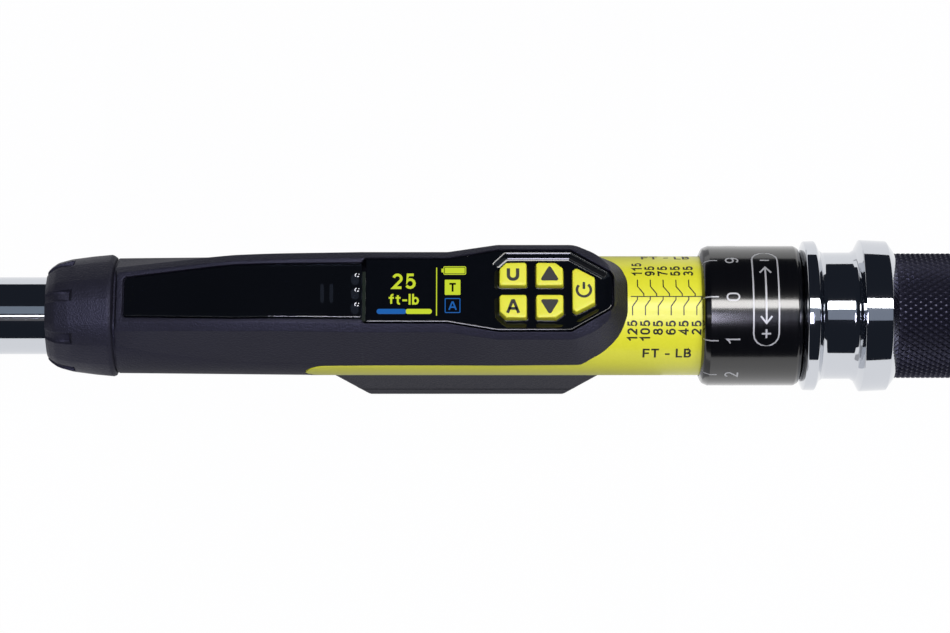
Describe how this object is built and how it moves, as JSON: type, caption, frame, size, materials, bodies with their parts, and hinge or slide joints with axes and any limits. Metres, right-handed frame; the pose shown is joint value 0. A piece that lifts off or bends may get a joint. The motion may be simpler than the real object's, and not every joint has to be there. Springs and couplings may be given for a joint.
{
  "type": "torque wrench",
  "caption": "Click torque wrench with a square-drive ratchet head, digital display housing, scale sleeve, setting thimble, lock collar and knurled grip.",
  "frame": {"origin": "centre of the drive square's end face", "axes": "+X along the tool towards the grip, +Z from the drive square's end up through the display"},
  "size_m": [0.492, 0.0436, 0.0519],
  "materials": {
    "forged_steel": "polished chromium plate on forged steel",
    "tool_steel": "hardened and ground, oiled",
    "bearing_steel": "polished",
    "spring_steel": "drawn wire, oiled",
    "screw_steel": "black oxide",
    "chrome": "mirror-bright chromium plate",
    "foil": "polyimide foil",
    "black_nylon": "fine spark-eroded grain",
    "yellow_aluminium": "satin yellow paint with black scale print",
    "bush_aluminium": "machined",
    "black_aluminium": "gloss black anodised",
    "smoked_plastic": "gloss, smoked",
    "panel_plastic": "gloss, printed from behind",
    "display": "colour display behind glass",
    "board": "green solder mask",
    "chip_plastic": "moulded epoxy",
    "dome_steel": "pressed sheet",
    "mat_rubber": "moulded silicone",
    "yellow_rubber": "silicone, black printed marks",
    "lamp_plastic": "clear epoxy",
    "cell": "printed sleeve on a steel can",
    "lead": "flat polyimide lead"
  },
  "bodies": {
    "housing": {"tube": "chrome", "pivot_pin": "tool_steel", "main_spring": "spring_steel", "screw_nut": "tool_steel", "nut_pins": "tool_steel", "grooved_bush": "tool_steel", "front_collar": "black_nylon", "front_seal": "mat_rubber", "front_bush": "bush_aluminium", "scale_sleeve": "yellow_aluminium", "rear_bush": "bush_aluminium", "upper_shell": "black_nylon", "led_window": "smoked_plastic", "display_lens": "panel_plastic", "display_module": "display", "main_board": "board", "board_chips": "chip_plastic", "key_switches": "dome_steel", "keypad_mat": "mat_rubber", "indicator_leds": "lamp_plastic", "light_pipes": "lamp_plastic", "buzzer": "chip_plastic", "battery_case": "black_nylon", "battery_cells": "cell", "battery_contacts": "spring_steel", "housing_screws": "screw_steel", "gauge_leads": "lead"},
    "head": {"ratchet_head": "forged_steel", "head_cover": "forged_steel", "cover_screws": "screw_steel", "strain_gauges": "foil"},
    "drive": {"drive_gear": "tool_steel", "drive_ball_spring": "spring_steel"},
    "detent": {"drive_ball": "bearing_steel"},
    "lever": {"reverse_lever": "forged_steel", "lever_plunger": "tool_steel", "plunger_spring": "spring_steel"},
    "pawl": {"pawl": "tool_steel"},
    "piston": {"piston": "tool_steel", "roller_pin": "tool_steel", "click_roller": "tool_steel"},
    "seat": {"spring_seat": "tool_steel", "thrust_ball": "bearing_steel"},
    "handle": {"thimble": "black_aluminium", "handle_grip": "black_aluminium", "collar_ring": "spring_steel", "adjusting_screw": "tool_steel", "screw_end_nut": "tool_steel", "end_cap": "black_nylon"},
    "collar": {"lock_collar": "chrome"},
    "upper_ball": {"lock_ball_upper": "bearing_steel"},
    "lower_ball": {"lock_ball_lower": "bearing_steel"},
    "door": {"battery_door": "black_nylon", "door_gasket": "mat_rubber", "door_screws": "screw_steel"},
    "unit_key": {"unit_button": "yellow_rubber"},
    "angle_key": {"angle_button": "yellow_rubber"},
    "up_key": {"up_button": "yellow_rubber"},
    "down_key": {"down_button": "yellow_rubber"},
    "power_key": {"power_button": "yellow_rubber"}
  },
  "joints": [
    {"name": "head_click", "type": "hinge", "parent": "housing", "child": "head", "pos_m": [0.052, 0, 0.029], "axis": [0, 0, 1], "range_deg": [0, 1.5], "stiffness_Nm_per_rad": 400},
    {"name": "piston_slide", "type": "slide", "parent": "housing", "child": "piston", "axis": [1, 0, 0], "range_m": [0, 0.0022], "deforming": ["main_spring"]},
    {"name": "drive_spin", "type": "hinge", "parent": "head", "child": "drive", "pos_m": [0, 0, 0.029], "axis": [0, 0, 1], "continuous": true},
    {"name": "ball_press", "type": "slide", "parent": "drive", "child": "detent", "axis": [-1, 0, 0], "range_m": [0, 0.0007], "stiffness_N_per_m": 600, "deforming": ["drive_ball_spring"]},
    {"name": "lever_turn", "type": "hinge", "parent": "head", "child": "lever", "pos_m": [0.0205, 0, 0.029], "axis": [0, 0, 1], "range_deg": [-40, 0]},
    {"name": "pawl_rock", "type": "hinge", "parent": "head", "child": "pawl", "pos_m": [0.0205, 0, 0.029], "axis": [0, 0, 1], "range_deg": [-8, 0]},
    {"name": "handle_advance", "type": "slide", "parent": "housing", "child": "seat", "axis": [-1, 0, 0], "range_m": [0, 0.01815], "deforming": ["main_spring"]},
    {"name": "handle_turn", "type": "hinge", "parent": "seat", "child": "handle", "pos_m": [0.4, 0, 0.029], "axis": [-1, 0, 0], "range_deg": [0, 3600]},
    {"name": "collar_pull", "type": "slide", "parent": "handle", "child": "collar", "axis": [1, 0, 0], "range_m": [0, 0.0045]},
    {"name": "upper_ball_drop", "type": "slide", "parent": "handle", "child": "upper_ball", "axis": [0, 0, -1], "range_m": [0, 0.0019]},
    {"name": "lower_ball_drop", "type": "slide", "parent": "handle", "child": "lower_ball", "axis": [0, 0, 1], "range_m": [0, 0.0019]},
    {"name": "battery_door_off", "type": "slide", "parent": "housing", "child": "door", "axis": [0, 0, -1], "range_m": [0, 0.03]},
    {"name": "unit_key_press", "type": "slide", "parent": "housing", "child": "unit_key", "axis": [0, 0, -1], "range_m": [0, 0.0004], "stiffness_N_per_m": 2000},
    {"name": "angle_key_press", "type": "slide", "parent": "housing", "child": "angle_key", "axis": [0, 0, -1], "range_m": [0, 0.0004], "stiffness_N_per_m": 2000},
    {"name": "up_key_press", "type": "slide", "parent": "housing", "child": "up_key", "axis": [0, 0, -1], "range_m": [0, 0.0004], "stiffness_N_per_m": 2000},
    {"name": "down_key_press", "type": "slide", "parent": "housing", "child": "down_key", "axis": [0, 0, -1], "range_m": [0, 0.0004], "stiffness_N_per_m": 2000},
    {"name": "power_key_press", "type": "slide", "parent": "housing", "child": "power_key", "axis": [0, 0, -1], "range_m": [0, 0.0004], "stiffness_N_per_m": 2000}
  ],
  "couplings": [
    {"joint": "piston_slide", "follows": "head_click", "m_per_rad": 0.0815},
    {"joint": "pawl_rock", "follows": "lever_turn", "ratio": 0.2},
    {"joint": "handle_advance", "follows": "handle_turn", "m_per_rad": 0.0002887},
    {"joint": "upper_ball_drop", "follows": "collar_pull", "ratio": 0.42222},
    {"joint": "lower_ball_drop", "follows": "collar_pull", "ratio": 0.42222}
  ]
}
